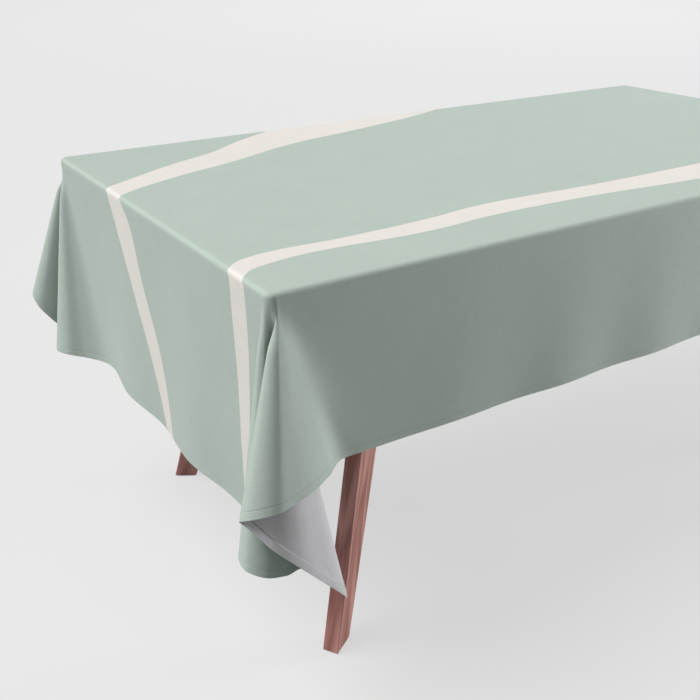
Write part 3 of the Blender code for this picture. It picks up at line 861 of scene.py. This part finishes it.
# %% [markdown]
# ## Thickness
# The real sheet is about 0.4 mm thick. Its second face could be made point by point, but a modifier that
# thickens the sheet inwards gives the same, with the back's material on it. The inside of the turned hem is
# white too, as the print stops at the fold, so its faces are given the back's material here.
# %% Finish the sheet
cloth.data.materials.append(printed)
cloth.data.materials.append(backing)
columns = skirt.shape[1]
bare = np.zeros(len(cloth.data.polygons), np.int32)
bare[columns * (len(skirt) + 1):columns * (len(skirt) + len(hem) - 1)] = 1
cloth.data.polygons.foreach_set("material_index", bare)
wall = cloth.modifiers.new("thickness", "SOLIDIFY")
wall.thickness = CLOTH_THICKNESS
wall.offset = -1
wall.material_offset = 1
wall.material_offset_rim = 1
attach(cloth, "cloth")
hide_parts("tablecloth")
for piece in (outer_stitches, inner_stitches):
    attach(piece, "cloth")
print("faces with the bare back's finish", int(bare.sum()))

# %% [markdown]
# ## Wood
# The legs are a reddish hardwood under a thin matt oil. Its grain runs along each piece, so the
# pattern is stretched along one direction and turned to follow the piece.
# %% Wood grain
# Waves of noise for each metre, across the grain and along it.
FIGURE_WAVES = (17, 17, 1.9)
FIBRE_WAVES = (420, 420, 14)
PORE_WAVES = (900, 900, 40)
RING_TURNS = 34.0

grain, given, put = group(
    "wood_grain",
    [("Place", "vector"), ("Light", "colour"), ("Dark", "colour"), ("Figure", "value")],
    [("Color", "colour"), ("Height", "value"), ("Roughness", "value")],
)
slow = grain.noise(grain.stretch(given["Place"], FIGURE_WAVES), 1.0, 2.0, 0.5)
rings = grain.math("SINE", grain.math("MULTIPLY", slow, RING_TURNS))
figure = grain.math("MULTIPLY_ADD", rings, 0.5, 0.5)
fibres = grain.noise(grain.stretch(given["Place"], FIBRE_WAVES), 1.0, 3.0)
pores = grain.ramp(grain.noise(grain.stretch(given["Place"], PORE_WAVES), 1.0, 1.0), 0.62, 0.72)
fibre_share = grain.math("MULTIPLY", fibres, 0.55)
mixed = grain.math("ADD", grain.math("MULTIPLY", figure, given["Figure"]), fibre_share)
base_colour = grain.mix(grain.ramp(mixed, 0.1, 0.9), given["Dark"], given["Light"])
grain.feed(put.inputs["Color"], grain.mix(grain.math("MULTIPLY", pores, 0.35), base_colour, given["Dark"]))
grain.feed(put.inputs["Height"], grain.math("SUBTRACT", fibres, grain.math("MULTIPLY", pores, 0.6)))
grain.feed(put.inputs["Roughness"], grain.ramp(fibres, 0.3, 0.7, 0.52, 0.66))
print("wood grain ready")


def wood(name, light, dark, figure, turn):
    """A wood finish whose grain runs along Z once the place is turned by turn, in radians."""
    made, graph = material(name, Coat_Weight=0.05, Coat_Roughness=0.4)
    place = graph.node("ShaderNodeTexCoord").outputs["Object"]
    inputs = {"Vector": place, "Rotation": turn}
    turned = graph.node("ShaderNodeMapping", inputs, vector_type="TEXTURE").outputs[0]
    inputs = {"Place": turned, "Light": light, "Dark": dark, "Figure": figure}
    look = graph.node("ShaderNodeGroup", inputs, node_tree=grain.tree).outputs
    graph.feed(graph.shader.inputs["Base Color"], look["Color"])
    graph.feed(graph.shader.inputs["Roughness"], look["Roughness"])
    bump(graph, look["Height"], 0.0002, 0.5)
    return made


LEG_LIGHT, LEG_DARK = rgb(236, 178, 166), rgb(146, 88, 82)
top_wood = wood("top_wood", rgb(196, 160, 120), rgb(150, 112, 78), 0.4, (0, math.pi / 2, 0))
rail_wood_long = wood("rail_wood_long", LEG_LIGHT, LEG_DARK, 0.3, (0, math.pi / 2, 0))
rail_wood_end = wood("rail_wood_end", LEG_LIGHT, LEG_DARK, 0.3, (math.pi / 2, 0, 0))
block_wood = wood("block_wood", rgb(190, 140, 118), rgb(140, 96, 80), 0.3, (0, math.pi / 2, 0))
print("woods ready")

# %% Legs
# Each leg leans outwards at LEG_LEAN from upright, and LEG_HEADING is the way it leans, from the table's
# length.
LEG_LEAN = math.atan(0.300)
LEG_HEADING = math.radians(31.9)
for depth_name, sy in (("front", -1), ("back", 1)):
    for side_name, sx in (("left", -1), ("right", 1)):
        heading = math.atan2(sy * math.sin(LEG_HEADING), sx * math.cos(LEG_HEADING))
        turn = (0, -LEG_LEAN, heading)
        finish = wood(f"leg_wood_{depth_name}_{side_name}", LEG_LIGHT, LEG_DARK, 0.42, turn)
        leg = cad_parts[f"leg_{depth_name}_{side_name}"]
        leg.data.materials.clear()
        leg.data.materials.append(finish)
print("legs lean", round(math.degrees(LEG_LEAN), 1), "degrees")

# %% [markdown]
# ## Steel and felt
# Bolts, nuts, washers, screws and brackets are zinc-plated steel, cloudy from the bath, and the feet have
# pads of dark felt. All of them are hidden or nearly so, so noise in the piece's own coordinates is enough.
# %% Steel, felt and the frame's finishes
steel, graph = material("zinc_steel", Metallic=1.0)
place = graph.node("ShaderNodeTexCoord").outputs["Object"]
cloud = graph.noise(place, 180.0, 3.0)
dull_to_bright = graph.mix(graph.ramp(cloud, 0.3, 0.7), rgb(170, 172, 176), rgb(205, 206, 204))
graph.feed(graph.shader.inputs["Base Color"], dull_to_bright)
graph.feed(graph.shader.inputs["Roughness"], graph.ramp(cloud, 0.3, 0.7, 0.28, 0.42))
bump(graph, cloud, 0.00005, 0.4)
felt, graph = material("felt", Sheen_Weight=0.4)
place = graph.node("ShaderNodeTexCoord").outputs["Object"]
fuzz = graph.noise(place, 1400.0, 4.0)
graph.feed(graph.shader.inputs["Base Color"], graph.mix(fuzz, rgb(66, 60, 56), rgb(110, 102, 96)))
graph.feed(graph.shader.inputs["Roughness"], graph.ramp(fuzz, 0.2, 0.8, 0.85, 1.0))
bump(graph, fuzz, 0.0004, 0.8)

FINISHES = {
    "tabletop": top_wood, "corner_block": block_wood, "foot_pad": felt,
    "rail_front": rail_wood_long, "rail_back": rail_wood_long,
    "rail_left": rail_wood_end, "rail_right": rail_wood_end, "cross_rail": rail_wood_end,
    "hanger_bolt": steel, "washer": steel, "nut": steel, "bracket": steel, "screw": steel,
}
for name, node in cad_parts.items():
    for start, finish in FINISHES.items():
        if name.startswith(start):
            node.data.materials.clear()
            node.data.materials.append(finish)
print("finishes given to the frame")

# %% [markdown]
# ## Close
# The view layer is brought up to date, so that every piece stands where it was put. The cloth
# may stand a little proud of its solid, and no more.
# %% Bring the scene up to date
bpy.context.view_layer.update()
